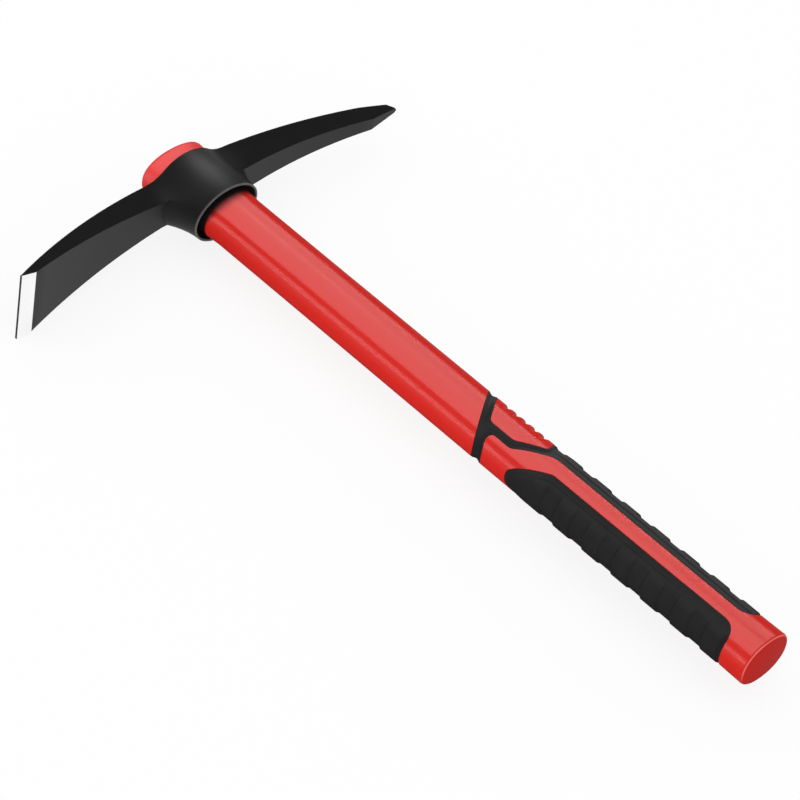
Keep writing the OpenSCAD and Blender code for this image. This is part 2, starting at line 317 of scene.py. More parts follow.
def ground_steel():
    finish = Finish("ground_steel")
    scratches = finish.noise(SCRATCH_SIZE, detail=4.0, scale=SCRATCH_SQUEEZE)
    cloud = finish.noise(STEEL_CLOUD)
    return finish.surface(
        Base_Color=finish.mix(cloud, (*STEEL, 1), (*STEEL_DULL, 1)),
        Metallic=1.0,
        Roughness=STEEL_ROUGH + scratches * STEEL_ROUGH_SCRATCH,
        Normal=finish.bump(scratches, SCRATCH_DEPTH, SCRATCH_STRENGTH))


# %% [markdown]
# ## Rubber and glass fibre
#
# The pads are moulded rubber with a fine spark-eroded grain that keeps them matt. The core is a
# glass-fibre rod with streaks along it, and it is hidden inside the handle.

# %% Rubber and glass fibre
RUBBER = (0.0150, 0.0150, 0.0160)
RUBBER_PALE = (0.0235, 0.0235, 0.0245)
RUBBER_CLOUD, RUBBER_GRAIN = 9 * MM, 0.75 * MM
RUBBER_ROUGH, RUBBER_ROUGH_CLOUD = 0.50, 0.12
RUBBER_SPECULAR = 0.4
GRAIN_SMOOTH, GRAIN_DEPTH, GRAIN_STRENGTH = 0.6, 0.08 * MM, 0.35
FIBRE = (0.72, 0.66, 0.48)
FIBRE_PALE = (0.84, 0.80, 0.66)
FIBRE_ROUGH, FIBRE_ROUGH_STREAK = 0.42, 0.2
STREAK_SIZE, STREAK_SQUEEZE = 12 * MM, (1.0, 18.0, 18.0)
STREAK_DEPTH, STREAK_STRENGTH = 0.05 * MM, 0.3


def grip_rubber():
    finish = Finish("grip_rubber")
    cloud = finish.noise(RUBBER_CLOUD, detail=3.0)
    grain = finish.node("ShaderNodeTexVoronoi", {"feature": "SMOOTH_F1"},
                        {"Vector": finish.place(), "Scale": 1 / RUBBER_GRAIN, "Smoothness": GRAIN_SMOOTH})
    return finish.surface(
        Base_Color=finish.mix(cloud, (*RUBBER, 1), (*RUBBER_PALE, 1)),
        Roughness=RUBBER_ROUGH + cloud * RUBBER_ROUGH_CLOUD,
        Specular_IOR_Level=RUBBER_SPECULAR,
        Normal=finish.bump(grain, GRAIN_DEPTH, GRAIN_STRENGTH))


def glass_fibre():
    finish = Finish("glass_fibre")
    streaks = finish.noise(STREAK_SIZE, detail=3.0, scale=STREAK_SQUEEZE)
    return finish.surface(
        Base_Color=finish.mix(streaks, (*FIBRE, 1), (*FIBRE_PALE, 1)),
        Roughness=FIBRE_ROUGH + streaks * FIBRE_ROUGH_STREAK,
        Normal=finish.bump(streaks, STREAK_DEPTH, STREAK_STRENGTH))


# %% [markdown]
# ## From a bmesh to a piece
#
# Each piece is worked on in a bmesh, then put in an object that sits at the origin, rides on its
# body, and stands for the plain node of the model. Some operators leave their faces in an order that
# changes from run to run, so the parts are sorted by place before they are written to the mesh. A node's
# triangles are loose, so a copy is merged first. Planes then cut a mesh finer, either all of it or only
# some of its faces.

# %% From a bmesh to a piece
MERGE_GAP, CUT_SLACK = 2e-6, 1e-5


def everything(bm):
    return bm.verts[:] + bm.edges[:] + bm.faces[:]


def put_in_order(bm):
    for parts, key in ((bm.verts, lambda v: v.co[:]), (bm.faces, lambda f: sorted(v.index for v in f.verts))):
        rank = {part: i for i, part in enumerate(sorted(parts, key=key))}
        parts.sort(key=rank.get)
        parts.index_update()


def piece_from(bm, name, body, node, slot, *materials):
    put_in_order(bm)
    mesh = bpy.data.meshes.new(name)
    bm.to_mesh(mesh)
    bm.free()
    for material in materials:
        mesh.materials.append(material)
    made = bpy.data.objects.new(name, mesh)
    bpy.context.scene.collection.objects.link(made)
    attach(made, body)
    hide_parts(node)
    print(name, len(mesh.polygons), "faces")
    return made


def merged_copy(node):
    bm = bmesh.new()
    bm.from_mesh(frame["nodes"][node].data)
    bmesh.ops.remove_doubles(bm, verts=bm.verts[:], dist=MERGE_GAP)
    return bm


def step(t):
    t = min(max(t, 0.0), 1.0)
    return t * t * (3 - 2 * t)


def cut(bm, spot, normal, clear=False):
    bmesh.ops.bisect_plane(bm, geom=everything(bm), dist=CUT_SLACK, plane_co=spot, plane_no=normal,
                           clear_outer=clear)


# Unlike a set, the keys of a dict stay in order.
def cut_only(bm, faces, spot, normal):
    edges = dict.fromkeys(e for f in faces for e in f.edges)
    verts = dict.fromkeys(v for f in faces for v in f.verts)
    made = bmesh.ops.bisect_plane(bm, geom=[*verts, *edges, *faces], dist=CUT_SLACK, plane_co=spot,
                                  plane_no=normal)
    return [part for part in made["geom"] if isinstance(part, bmesh.types.BMFace)]


# %% [markdown]
# ## The oval section
#
# The handle's section is a full oval, a little squarer than an ellipse, and both ends are rounded
# over. The formula gives the true normal at any point, and the length along the outline gives a flat
# map of the grip: `s` starts at the pick-side edge and runs over the broad face to the blade-side edge.

# %% The oval section
OVAL_N = 2.2
WAIST_W, WAIST_X, FLARE_RUN = 32.9, 71.0, 10.0
CROWN_W, CROWN_ROUND = 43.8, 2.6
BUTT_SWELL, BUTT_ROUND, BUTT_CAP = 0.3, 1.8, 17.0
BAND_TO_BUTT = 202.0
BAND_X = BUTT_X - BAND_TO_BUTT
PAD_END = BUTT_X - BUTT_CAP
STATION_X = (CROWN_X + CROWN_ROUND, FLARE_RUN, WAIST_X, BAND_X, PAD_END, BUTT_X - BUTT_ROUND)
STATION_W = (CROWN_W, WAIST_W, WAIST_W, HANDLE_W, HANDLE_W, HANDLE_W + 2 * BUTT_SWELL)
STATION_T = (HANDLE_T, HANDLE_T, HANDLE_T, HANDLE_T, HANDLE_T, HANDLE_T + 2 * BUTT_SWELL)
SLOPE_REACH = 9.0
OVAL_POINTS = 4001


def turned_over(x):
    if x > BUTT_X - BUTT_ROUND:
        return min((x - BUTT_X) / BUTT_ROUND + 1, 1.0), BUTT_ROUND
    if x < CROWN_X + CROWN_ROUND:
        return max((x - CROWN_X) / CROWN_ROUND - 1, -1.0), CROWN_ROUND
    return 0.0, 0.0


def half_sizes(x):
    over, radius = turned_over(x)
    lost = radius * (1 - math.sqrt(1 - over * over))
    return np.interp(x, STATION_X, STATION_W) / 2 - lost, np.interp(x, STATION_X, STATION_T) / 2 - lost


def oval_normal(x, y, z):
    a, b = half_sizes(x)
    over, _ = turned_over(x)
    inner = min(max(x, STATION_X[0] + SLOPE_REACH), STATION_X[-1] - SLOPE_REACH)
    slope = (half_sizes(inner + SLOPE_REACH)[0] - half_sizes(inner - SLOPE_REACH)[0]) / (2 * SLOPE_REACH)
    along = -slope / a * abs(y / a) ** OVAL_N
    across = math.copysign(abs(y / a) ** (OVAL_N - 1) / a, y)
    upward = math.copysign(abs(z / b) ** (OVAL_N - 1) / b, z)
    side = Vector((along, across, upward)).normalized()
    return (side * math.sqrt(1 - over * over) + Vector((over, 0, 0))).normalized()


def oval_level(x, y, z):
    a, b = half_sizes(x)
    return abs(y / a) ** OVAL_N + abs(z / b) ** OVAL_N


PHI = np.linspace(0, math.pi, OVAL_POINTS)
OVAL_Y = HANDLE_W / 2 * np.sign(np.cos(PHI)) * np.abs(np.cos(PHI)) ** (2 / OVAL_N)
OVAL_Z = HANDLE_T / 2 * np.abs(np.sin(PHI)) ** (2 / OVAL_N)
OVAL_S = np.concatenate(([0], np.cumsum(np.hypot(np.diff(OVAL_Y), np.diff(OVAL_Z)))))
EDGE_S = float(OVAL_S[-1])


def s_of(y):
    return float(np.interp(-y, -OVAL_Y, OVAL_S))


def y_of(s):
    return float(np.interp(s, OVAL_S, OVAL_Y))


def z_of(s):
    return float(np.interp(s, OVAL_S, OVAL_Z))


print("half of the grip's outline is", round(EDGE_S, 1), "mm")

# %% [markdown]
# ## Handle jacket
#
# The moulding keeps the shape of the model's node. Its long triangles would bend a reflection, so
# they are joined into flat strips and the strips are cut into short rings. Then each corner that lies
# on the oval gets the oval's own normal, and the reflections run smooth from the crown to the butt.

# %% Handle jacket
SHARP = math.radians(28)
ON_OVAL, OVAL_FACING = 0.02, 0.97
STRIP_FLAT = math.radians(0.1)
RING_STEP = 3.0


def ringed_copy(node):
    bm = merged_copy(node)
    bmesh.ops.dissolve_limit(bm, angle_limit=STRIP_FLAT, verts=bm.verts[:], edges=bm.edges[:])
    for x in np.arange(CROWN_X + RING_STEP, BUTT_X - BUTT_ROUND, RING_STEP):
        cut(bm, TO_FRAME @ Vector((x, 0, 0)), (1, 0, 0))
    return bm


def smooth_by_oval(made):
    mesh = made.data
    mesh.shade_smooth()
    mesh.set_sharp_from_angle(angle=SHARP)
    normals = [Vector(corner.vector) for corner in mesh.corner_normals]
    for face in mesh.polygons:
        points = [TO_HANDLE @ mesh.vertices[i].co for i in face.vertices]
        middle = sum(points, Vector()) / len(points)
        if any(abs(oval_level(*p) - 1) > ON_OVAL for p in (*points, middle)):
            continue
        if face.normal.dot(oval_normal(*middle)) < OVAL_FACING:
            continue
        for corner, point in zip(face.loop_indices, points):
            normals[corner] = oval_normal(*point)
    mesh.normals_split_custom_set(normals)


jacket = piece_from(ringed_copy("handle_jacket"), "handle_jacket_moulding", "handle", "handle_jacket",
                    "handle_red", red_plastic())
smooth_by_oval(jacket)

# %% [markdown]
# ## Edges and ends of the forging
#
# A forging has no knife-sharp edges apart from the one that is ground on it. The land at the cutting
# edge is made a little wider. The pick's point gets a fine grid and is thinned towards its end, so that
# it is round both ways. The other sharp edges are bevelled, and only by a hair beside the ground one.

# %% Edges and ends of the forging
FORGED_ROUND, FORGED_STEPS = 0.4 * MM, 3
GROUND_ROUND, GROUND_STEPS = 0.12 * MM, 2
BLADE_REACH, BEVEL_LEN, BEVEL_PAST = 140.0, 9.4, 1.5
PICK_REACH, POINT_UNDER, POINT_ARC = 137.0, -7.3, 5.5
POINT_LEN, POINT_GRID, POINT_SOFT, POINT_LEAST = 6.0, 0.5, 1.8, 0.02
TURN_FROM, TURN_RUN = 20, 35
LAND_IN, LAND_OUT, LAND_SLACK = 0.75, -0.25, 0.05


def sharp_edges(bm, wanted):
    return [e for e in bm.edges
            if len(e.link_faces) == 2 and e.calc_face_angle(0) > SHARP
            and wanted(TO_HANDLE @ ((e.verts[0].co + e.verts[1].co) / 2))]


def round_point(bm):
    near = [f for f in bm.faces if any((TO_HANDLE @ v.co).y > PICK_REACH - POINT_LEN for v in f.verts)]
    for normal, last in ((Vector((1, 0, 0)), POINT_UNDER), (Vector((0, 1, 0)), PICK_REACH)):
        for back in np.arange(POINT_GRID / 2, POINT_LEN + 1, POINT_GRID):
            near = cut_only(bm, near, TO_FRAME @ (normal * float(last - back)), normal)
    for vert in {v for f in near for v in f.verts}:
        spot = TO_HANDLE @ vert.co
        out = spot.xy - Vector((POINT_UNDER, PICK_REACH - POINT_ARC))
        turn = math.degrees(math.atan2(out.y, -out.x))
        inside = min(max(POINT_ARC - out.length, POINT_LEAST) / POINT_SOFT, 1.0)
        thin = math.sqrt(1 - (1 - inside) ** 2)
        spot.z *= 1 + step((turn - TURN_FROM) / TURN_RUN) * (thin - 1)
        vert.co = TO_FRAME @ spot


def widen_land(bm):
    tip = [v for v in bm.verts if (TO_HANDLE @ v.co).y < LAND_SLACK - BLADE_REACH]
    middle = sum(v.co.x for v in tip) / len(tip)
    for vert in tip:
        vert.co.x += (LAND_IN if vert.co.x > middle else LAND_OUT) * MM


def round_over(bm, edges, width, segments):
    bmesh.ops.bevel(bm, geom=edges, offset=width, offset_type="OFFSET", segments=segments, profile=0.5,
                    affect="EDGES", clamp_overlap=True, material=-1)


def by_ground_edge(spot):
    return spot.y < BEVEL_LEN + BEVEL_PAST - BLADE_REACH


def on_forging(spot):
    return not by_ground_edge(spot) and spot.y < PICK_REACH - POINT_LEN


# %% [markdown]
# ## Forged head
#
# The copy's triangles are dissolved into clean faces before its edges and ends are worked. The eye and
# the arms are then cut into a grid, which the next step needs, and weighted normals keep the broad
# faces flat. Only the ground bevel gets bare steel.

# %% Forged head
FORGED_FLAT = math.radians(0.4)
EYE_REACH, ARM_REACH = 42.0, 116.0
# A row is an axis, how far the cuts reach along it both ways and the gap between them.
EYE_GRID = ((0, 44.0, 2.5), (1, EYE_REACH, 2.5), (2, 24.0, 3.0))
ARM_GRID = ((1, ARM_REACH, 5.0), (2, 24.0, 6.0))
STEEL_SLOT, BEVEL_FACING = 1, 0.9
FACE_WEIGHT = 60


def refine(bm, low, high, grid):
    near = [f for f in bm.faces if any(low <= abs((TO_HANDLE @ v.co).y) < high for v in f.verts)]
    for axis, reach, gap in grid:
        normal = Vector([float(i == axis) for i in range(3)])
        for at in np.arange(gap / 2 - reach, reach, gap):
            near = cut_only(bm, near, TO_FRAME @ (normal * float(at)), normal)


def forged_head():
    bm = merged_copy("pick_head")
    bmesh.ops.dissolve_limit(bm, angle_limit=FORGED_FLAT, verts=bm.verts[:], edges=bm.edges[:])
    widen_land(bm)
    round_point(bm)
    round_over(bm, sharp_edges(bm, on_forging), FORGED_ROUND, FORGED_STEPS)
    round_over(bm, sharp_edges(bm, by_ground_edge), GROUND_ROUND, GROUND_STEPS)
    refine(bm, 0.0, EYE_REACH, EYE_GRID)
    refine(bm, EYE_REACH, ARM_REACH, ARM_GRID)
    made = piece_from(bm, "forged_head", "head", "pick_head", "head_black", black_enamel(), ground_steel())
    for face in made.data.polygons:
        face.use_smooth = True
        middle = TO_HANDLE @ face.center
        if middle.y < BEVEL_LEN - BLADE_REACH and face.normal.x > BEVEL_FACING and face.normal.y < 0:
            face.material_index = STEEL_SLOT
    weighted = made.modifiers.new("weighted_normals", "WEIGHTED_NORMAL")
    weighted.weight = FACE_WEIGHT
    return made


head = forged_head()

# %% [markdown]
# ## Even shading on the head
#
# The arms are long even curves and flow into the eye with no edge, because the hot steel was drawn out
# of one lump. Each corner gets the mean normal of the faces near it that look much the same way, over a
# wider stretch on the arms than on the eye, so that the light rolls over the head without a crease. The
# ends of the arms keep the weighted normals.

# %% Even shading on the head
EYE_BLUR, ARM_BLUR, ALIKE = 6.5, 12.0, 0.7
BLUR_RUN = 10.0
BLUR_FROM, BLUR_TO = EYE_REACH - BLUR_RUN, EYE_REACH + BLUR_RUN


def smooth_forging(made):
    mesh = made.data
    shaped = made.evaluated_get(bpy.context.evaluated_depsgraph_get()).data
    normals = [Vector(corner.vector) for corner in shaped.corner_normals]
    made.modifiers.clear()
    spots = [TO_HANDLE @ face.center for face in mesh.polygons]
    facing = [face.normal.copy() for face in mesh.polygons]
    areas = [face.area for face in mesh.polygons]
    tree = KDTree(len(spots))
    for i, spot in enumerate(spots):
        tree.insert(spot, i)
    tree.balance()
    for face, spot, own in zip(mesh.polygons, spots, facing):
        if abs(spot.y) > ARM_REACH:
            continue
        for corner, i in zip(face.loop_indices, face.vertices):
            point, total = TO_HANDLE @ mesh.vertices[i].co, Vector()
            blur = float(np.interp(abs(point.y), (BLUR_FROM, BLUR_TO), (EYE_BLUR, ARM_BLUR)))
            for _, other, gap in tree.find_range(point, blur):
                if facing[other].dot(own) > ALIKE:
                    total += facing[other] * (areas[other] * (1 - (gap / blur) ** 2))
            normals[corner] = total.normalized() if total.length > 0 else own
    mesh.normals_split_custom_set(normals)


smooth_forging(head)
print("head shaded evenly to", ARM_REACH, "mm either way")

# %% [markdown]
# ## Rubber pads
#
# Each pad starts as one flat face, drawn as the grip looks from above, with only the corners that
# its outline needs: each has a place along the handle, a place across it and a radius. Bevelling the
# corners rounds the outline. Cutting the face and moving its points from the view from above to the
# map of the grip unrolls it. Insetting it there makes the soft rim, and a grid of cuts gives it enough
# points to bend. The sheet is then wrapped round the oval, mirrored to the far face and given its
# thickness.

# %% Drawing a pad and unrolling it
GRIP_X = BAND_X + 1.0
MAP_CUT, LONG_CUT = 1.0, 3.0
PAST = 8.0
CORNER_STEPS = 6
TINY_EDGE = 0.25


def rounded_face(bm, corners):
    verts = [bm.verts.new((x, y, 0)) for x, y, _ in corners]
    bm.faces.new(verts)
    spots = [v.co.copy() for v in verts]
    for i, (vert, (_, _, radius)) in enumerate(zip(verts, corners)):
        if radius:
            to_last, to_next = spots[i - 1] - spots[i], spots[(i + 1) % len(spots)] - spots[i]
            setback = radius / math.tan(to_last.angle(to_next) / 2)
            bmesh.ops.bevel(bm, geom=[vert], offset=setback, segments=CORNER_STEPS, profile=0.5,
                            affect="VERTICES", clamp_overlap=False, material=-1)


def unroll(bm):
    for s in np.arange(0, EDGE_S + MAP_CUT / 2, EDGE_S / round(EDGE_S / MAP_CUT)):
        cut(bm, (0, y_of(s), 0), (0, 1, 0))
    for vert in bm.verts:
        beyond = max(abs(vert.co.y) - HANDLE_W / 2, 0)
        vert.co.y = s_of(vert.co.y) - math.copysign(beyond, vert.co.y)
    bmesh.ops.dissolve_faces(bm, faces=bm.faces[:])
    bmesh.ops.remove_doubles(bm, verts=bm.verts[:], dist=TINY_EDGE)
    face = next(iter(bm.faces))
    face.normal_update()
    if face.normal.z < 0:
        face.normal_flip()
    return face


# %% [markdown]
# ## The soft rim
#
# The rim is three narrow insets, each a little higher than the last. A finer detail, such as the lip
# that follows the nose of a pad, is set by its distance from the outline, so the map gets a fine grid
# there.

# %% The soft rim
RIM_STEPS = ((0.1, 0.16), (0.16, 0.1), (0.3, 0.04))
RIM_HEIGHT = sum(rise for _, rise in RIM_STEPS)


def soft_rim(bm, face):
    for vert in bm.verts:
        vert.co.z = -RIM_HEIGHT
    for width, rise in RIM_STEPS:
        bmesh.ops.inset_region(bm, faces=[face], thickness=width, depth=rise, use_even_offset=True,
                               use_boundary=True)


def away_from(lines, x, s):
    a, b = lines[:, 0], lines[:, 1]
    run = b - a
    share = np.clip(((np.array((x, s)) - a) * run).sum(1) / (run * run).sum(1), 0, 1)
    return float(np.min(np.hypot(*(a + share[:, None] * run - (x, s)).T)))


def outline(face):
    points = np.array([v.co.xy for v in face.verts])
    lines = np.stack((points, np.roll(points, -1, axis=0)), axis=1)
    return lines[(lines[:, :, 1].min(axis=1) < EDGE_S) & (lines[:, :, 1].max(axis=1) > 0)]


def fine_grid(bm, first, last, size):
    near = [f for f in bm.faces if f.calc_center_median().x < last]
    for x in np.arange(first, last, size):
        near = cut_only(bm, near, (x, 0, 0), (1, 0, 0))
    for s in np.arange(size / 2, EDGE_S, size):
        near = cut_only(bm, near, (0, s, 0), (0, 1, 0))


# %% [markdown]
# ## Finger hollows and lip
#
# Round the edge of the handle the rubber has hollows for the fingers with plates between them, and
# they fade out on the broad faces. Beside the stripe a smooth border ends in a shallow groove, and a
# lip leads up from it to the shelf that the hollows are scooped from. Cuts along the plates and the lip
# keep their edges crisp.

# %% Finger hollows and lip
PLATE_LEN, PLATE_PITCH, PLATE_INSET = 11.0, 21.0, 2.0
PLATE_RAMP, RAMP_PARTS = 1.0, (-0.5, -0.25, 0, 0.25, 0.5)
HOLLOW = 1.0
BORDER, LIP, GROOVE, GROOVE_SHARE = 3.4, 1.3, 0.06, 0.8
LIP_PARTS = (-GROOVE_SHARE, -GROOVE_SHARE / 2, 0, 0.25, 0.5, 0.75, 1.0)
BORDER_LEVEL, SHELF_LEVEL = -0.12, 0.32


def plate_edges(first):
    last = PAD_END - PLATE_INSET - PLATE_LEN
    count = math.floor((last - first) / PLATE_PITCH) + 1
    starts = [last - i * PLATE_PITCH for i in reversed(range(count))]
    return [(start, start + PLATE_LEN) for start in starts]


def on_plate(x, plates):
    return max(step((x - low) / PLATE_RAMP + 0.5) * step((high - x) / PLATE_RAMP + 0.5)
               for low, high in plates)


def hollow_at(x, s, height, plates, full, fade):
    deep = 1 - step((z_of(s) - full) / (fade - full))
    return HOLLOW * deep * (1 - on_plate(x, plates)) * step(1 + height / RIM_HEIGHT)


def grid_cuts(bm, plates):
    xs = [v.co.x for v in bm.verts]
    for x in np.arange(min(xs) + MAP_CUT, max(xs), LONG_CUT):
        cut(bm, (x, 0, 0), (1, 0, 0))
    for edge in sum(plates, ()):
        for part in RAMP_PARTS:
            cut(bm, (edge + part * PLATE_RAMP, 0, 0), (1, 0, 0))
    for s in np.arange(MAP_CUT, EDGE_S, MAP_CUT):
        cut(bm, (0, s, 0), (0, 1, 0))
    cut(bm, (0, EDGE_S, 0), (0, 1, 0), clear=True)
    cut(bm, (0, 0, 0), (0, -1, 0), clear=True)


def lip_cuts(bm, edge, inward):
    for part in LIP_PARTS:
        cut(bm, (0, edge + inward * (BORDER + part * LIP), 0), (0, 1, 0))


def lip_level(away, hollow):
    groove = GROOVE * step(1 - abs(away - BORDER) / (GROOVE_SHARE * LIP))
    return BORDER_LEVEL + step((away - BORDER) / LIP) * (SHELF_LEVEL - BORDER_LEVEL - hollow) - groove


# %% [markdown]
# ## Wrapping a pad
#
# On the map a point has a place along the handle, a place round it and a height. The oval's point
# and normal there turn these into a place in space. The section hardly changes along the grip, so the
# oval just past the band serves for all of it.

# %% Wrapping a pad
RUBBER_DEPTH, MIRROR_GAP = 1.6, 1e-3
PAD_SHARP = math.radians(50)


def wrap(bm):
    for vert in bm.verts:
        x, s, height = vert.co
        y, z = y_of(s), z_of(s)
        vert.co = Vector((x, y, z)) + height * oval_normal(GRIP_X, y, z)
    bmesh.ops.mirror(bm, geom=everything(bm), matrix=Matrix(), merge_dist=MIRROR_GAP, axis="Z")
    bmesh.ops.remove_doubles(bm, verts=bm.verts[:], dist=MIRROR_GAP)
    bmesh.ops.recalc_face_normals(bm, faces=bm.faces[:])
    if sum(f.normal.dot(oval_normal(GRIP_X, *f.calc_center_median().yz)) for f in bm.faces) < 0:
        bmesh.ops.reverse_faces(bm, faces=bm.faces[:])
    grown = bmesh.ops.extrude_face_region(bm, geom=bm.faces[:], use_keep_orig=True)["geom"]
    for vert in (v for v in grown if isinstance(v, bmesh.types.BMVert)):
        vert.co -= RUBBER_DEPTH * oval_normal(GRIP_X, vert.co.y, vert.co.z)
    bmesh.ops.recalc_face_normals(bm, faces=bm.faces[:])
    bmesh.ops.transform(bm, matrix=TO_FRAME, verts=bm.verts[:])


def finish_pad(bm, name, node, material):
    made = piece_from(bm, name, "handle", node, "grip_rubber", material)
    made.data.shade_smooth()
    made.data.set_sharp_from_angle(angle=PAD_SHARP)
    return made


# %% [markdown]
# ## Finger pad
#
# It lies along the blade-side edge, under the fingers. A smooth border runs round its nose and along
# the stripe, then a low lip leads up to a shelf, and the hollows are scooped out of the shelf. The lip
# runs out towards the butt.

# %% Finger pad
STRIPE_TOP, STRIPE_LOW, STRIPE_GAP = 2.8, 6.0, 0.6
FINGER_START, FINGER_RISE, FINGER_BEND = 31.0, -16.4, 54.5
NOSE_ROUND, BEND_ROUND, END_ROUND = 2, 8, 9
OUT_Y = HANDLE_W / 2 + PAST
SEAM = 0.06
NOSE_LEN, NOSE_GRID = 30.0, 0.6
LIP_OUT_FROM, LIP_OUT_TO = BUTT_X - 80.0, BUTT_X - 35.0
FINGER_FULL, FINGER_FADE = 8.0, 13.0
rubber = grip_rubber()


def finger_pad():
    bm = bmesh.new()
    start, end, low = BAND_X + FINGER_START + SEAM, PAD_END + STRIPE_GAP - SEAM, -STRIPE_LOW - SEAM
    rounded_face(bm, [
        (start, -OUT_Y, 0), (start, FINGER_RISE, NOSE_ROUND), (BAND_X + FINGER_BEND, low, BEND_ROUND),
        (end, low, END_ROUND), (end, -OUT_Y, 0)])
    face = unroll(bm)
    lines = outline(face)
    lines = lines[lines[:, :, 0].min(axis=1) < LIP_OUT_TO]
    soft_rim(bm, face)
    plates = plate_edges(BAND_X + FINGER_BEND)
    grid_cuts(bm, plates)
    fine_grid(bm, start, start + NOSE_LEN, NOSE_GRID)
    lip_cuts(bm, s_of(low), 1)
    lead = (start - PAST, plates[0][0] + PLATE_LEN - PLATE_PITCH)
    for vert in bm.verts:
        x, s, height = vert.co
        past_lip = (x - LIP_OUT_FROM) / (LIP_OUT_TO - LIP_OUT_FROM)
        away = max(away_from(lines, x, s), 2 * BORDER * step(past_lip))
        hollow = hollow_at(x, s, height, [lead, *plates], FINGER_FULL, FINGER_FADE)
        vert.co.z = min(height, 0) + lip_level(away, hollow)
    wrap(bm)
    return finish_pad(bm, "finger_pad", "finger_grip", rubber)


finger = finger_pad()

# %% [markdown]
# ## Back pad
#
# The band round the handle, the branch under the thumb rest and the pad along the pick-side edge
# are one moulding. The band and the branch are dished between the red parts, and the pad rises to its
# own shelf and hollows.

# %% Back pad
BAND_W, BAND_SLANT = 6.7, 0.65
BRANCH_LOW, BRANCH_HIGH, BRANCH_BEND, BRANCH_ROUND = -9.9, -5.2, 26.5, 6
FORK_LOW_ROUND, FORK_HIGH_ROUND = 3, 4
THUMB_LEN, THUMB_BEND = 35.0, 24.5
THUMB_CORNER, THUMB_CORNER_OUT, THUMB_CORNER_ROUND = 4.6, 5.0, 2.5
STRIPE_START, STRIPE_ROUND = 47.0, 14
BAND_DISH, BAND_SOFT, BAND_GRID = 0.95, 3.0, 0.8
RISE_FROM, RISE_TO = 36.0, 52.0
BACK_FULL, BACK_FADE = 9.0, 12.6


def band_edge(y, side):
    return BAND_X + side * (BAND_W / 2 - SEAM) - BAND_SLANT * y


def back_pad():
    bm = bmesh.new()
    low, high, top, end = BRANCH_LOW + SEAM, BRANCH_HIGH - SEAM, STRIPE_TOP + SEAM, PAD_END - SEAM
    rounded_face(bm, [
        (band_edge(OUT_Y, -1), OUT_Y, 0), (band_edge(-OUT_Y, -1), -OUT_Y, 0),
        (band_edge(-OUT_Y, 1), -OUT_Y, 0), (band_edge(low, 1), low, FORK_LOW_ROUND),
        (BAND_X + BRANCH_BEND, low, BRANCH_ROUND), (BAND_X + STRIPE_START, top, STRIPE_ROUND),
        (end, top, END_ROUND), (end, OUT_Y, 0), (BAND_X + THUMB_LEN, OUT_Y, 0),
        (BAND_X + THUMB_LEN + THUMB_CORNER_OUT, THUMB_CORNER, THUMB_CORNER_ROUND),
        (BAND_X + THUMB_BEND, high, BRANCH_ROUND), (band_edge(high, 1), high, FORK_HIGH_ROUND),
        (band_edge(OUT_Y, 1), OUT_Y, 0)])
    face = unroll(bm)
    lines = outline(face)
    soft_rim(bm, face)
    plates = plate_edges(BAND_X + STRIPE_START - PLATE_LEN / 2)
    grid_cuts(bm, plates)
    fine_grid(bm, BAND_X - OUT_Y * BAND_SLANT, BAND_X + STRIPE_START, BAND_GRID)
    lip_cuts(bm, s_of(top), -1)
    for vert in bm.verts:
        x, s, height = vert.co
        pad = step((x - BAND_X - RISE_FROM) / (RISE_TO - RISE_FROM))
        dish = -BAND_DISH * step(away_from(lines, x, s) / BAND_SOFT) if pad < 1 else 0
        hollow = hollow_at(x, s, height, plates, BACK_FULL, BACK_FADE)
        vert.co.z = min(height, 0) + dish + pad * (lip_level(s_of(top) - s, hollow) - dish)
    wrap(bm)
    return finish_pad(bm, "back_pad", "back_grip", rubber)


back = back_pad()

# %% [markdown]
# ## Core
#
# The rod is already right in the model, so it only gets its finish.

# %% Core
core = frame["nodes"]["core_rod"]
core.data.materials.clear()
core.data.materials.append(glass_fibre())
print("core_rod has the finish", core.data.materials[0].name)

# %% [markdown]
# ## White floor
#
# The tool lies on a white floor. To the camera, and in reflections, the floor mostly glows at the
# level of white. The rest of its shade is lit like any matt surface, so it still takes a faint shadow.
# The glow is linked to the head, which mirrors it, and not to the handle, which has cards of its own. It
# is left out of the lamps that are sampled, or the floor's diagonal shows as a step in the head's sheen.

# %% White floor
FLOOR_SIZE = 8.0
FLOOR_DROP = 0.0005
FLOOR_SHADE, FLOOR_ROUGH = (0.98, 0.98, 0.98, 1), 0.9
FLOOR_GLOW = 0.86
WHITE, BLACK = (1, 1, 1, 1), (0, 0, 0, 1)


def only_on(lamp, pieces):
    group = bpy.data.collections.new(lamp.name + "_receivers")
    for piece in pieces:
        group.objects.link(piece)
    lamp.light_linking.receiver_collection = group
    lamp.light_linking.blocker_collection = group


def white_floor():
    finish = Finish("white_floor")
    rays = finish.node("ShaderNodeLightPath").socket.node
    seen = Value(finish, rays.outputs["Is Camera Ray"]) + Value(finish, rays.outputs["Is Glossy Ray"])
    seen = (seen + Value(finish, rays.outputs["Is Transmission Ray"])).clamp()
    finish.surface(Base_Color=FLOOR_SHADE, Roughness=FLOOR_ROUGH, Specular_IOR_Level=0.0)
    finish.layer(seen * FLOOR_GLOW, Base_Color=BLACK, Specular_IOR_Level=0.0, Emission_Color=WHITE,
                 Emission_Strength=1.0)
    finish.material.cycles.emission_sampling = "NONE"
    return finish.material


def floor():
    bm = bmesh.new()
    bmesh.ops.create_grid(bm, x_segments=1, y_segments=1, size=FLOOR_SIZE / 2)
    bmesh.ops.translate(bm, verts=bm.verts[:], vec=(0, 0, -FLOOR_DROP))
    mesh = bpy.data.meshes.new("floor")
    bm.to_mesh(mesh)
    bm.free()
    mesh.materials.append(white_floor())
    made = bpy.data.objects.new("floor", mesh)
    bpy.context.scene.collection.objects.link(made)
    only_on(made, [head])


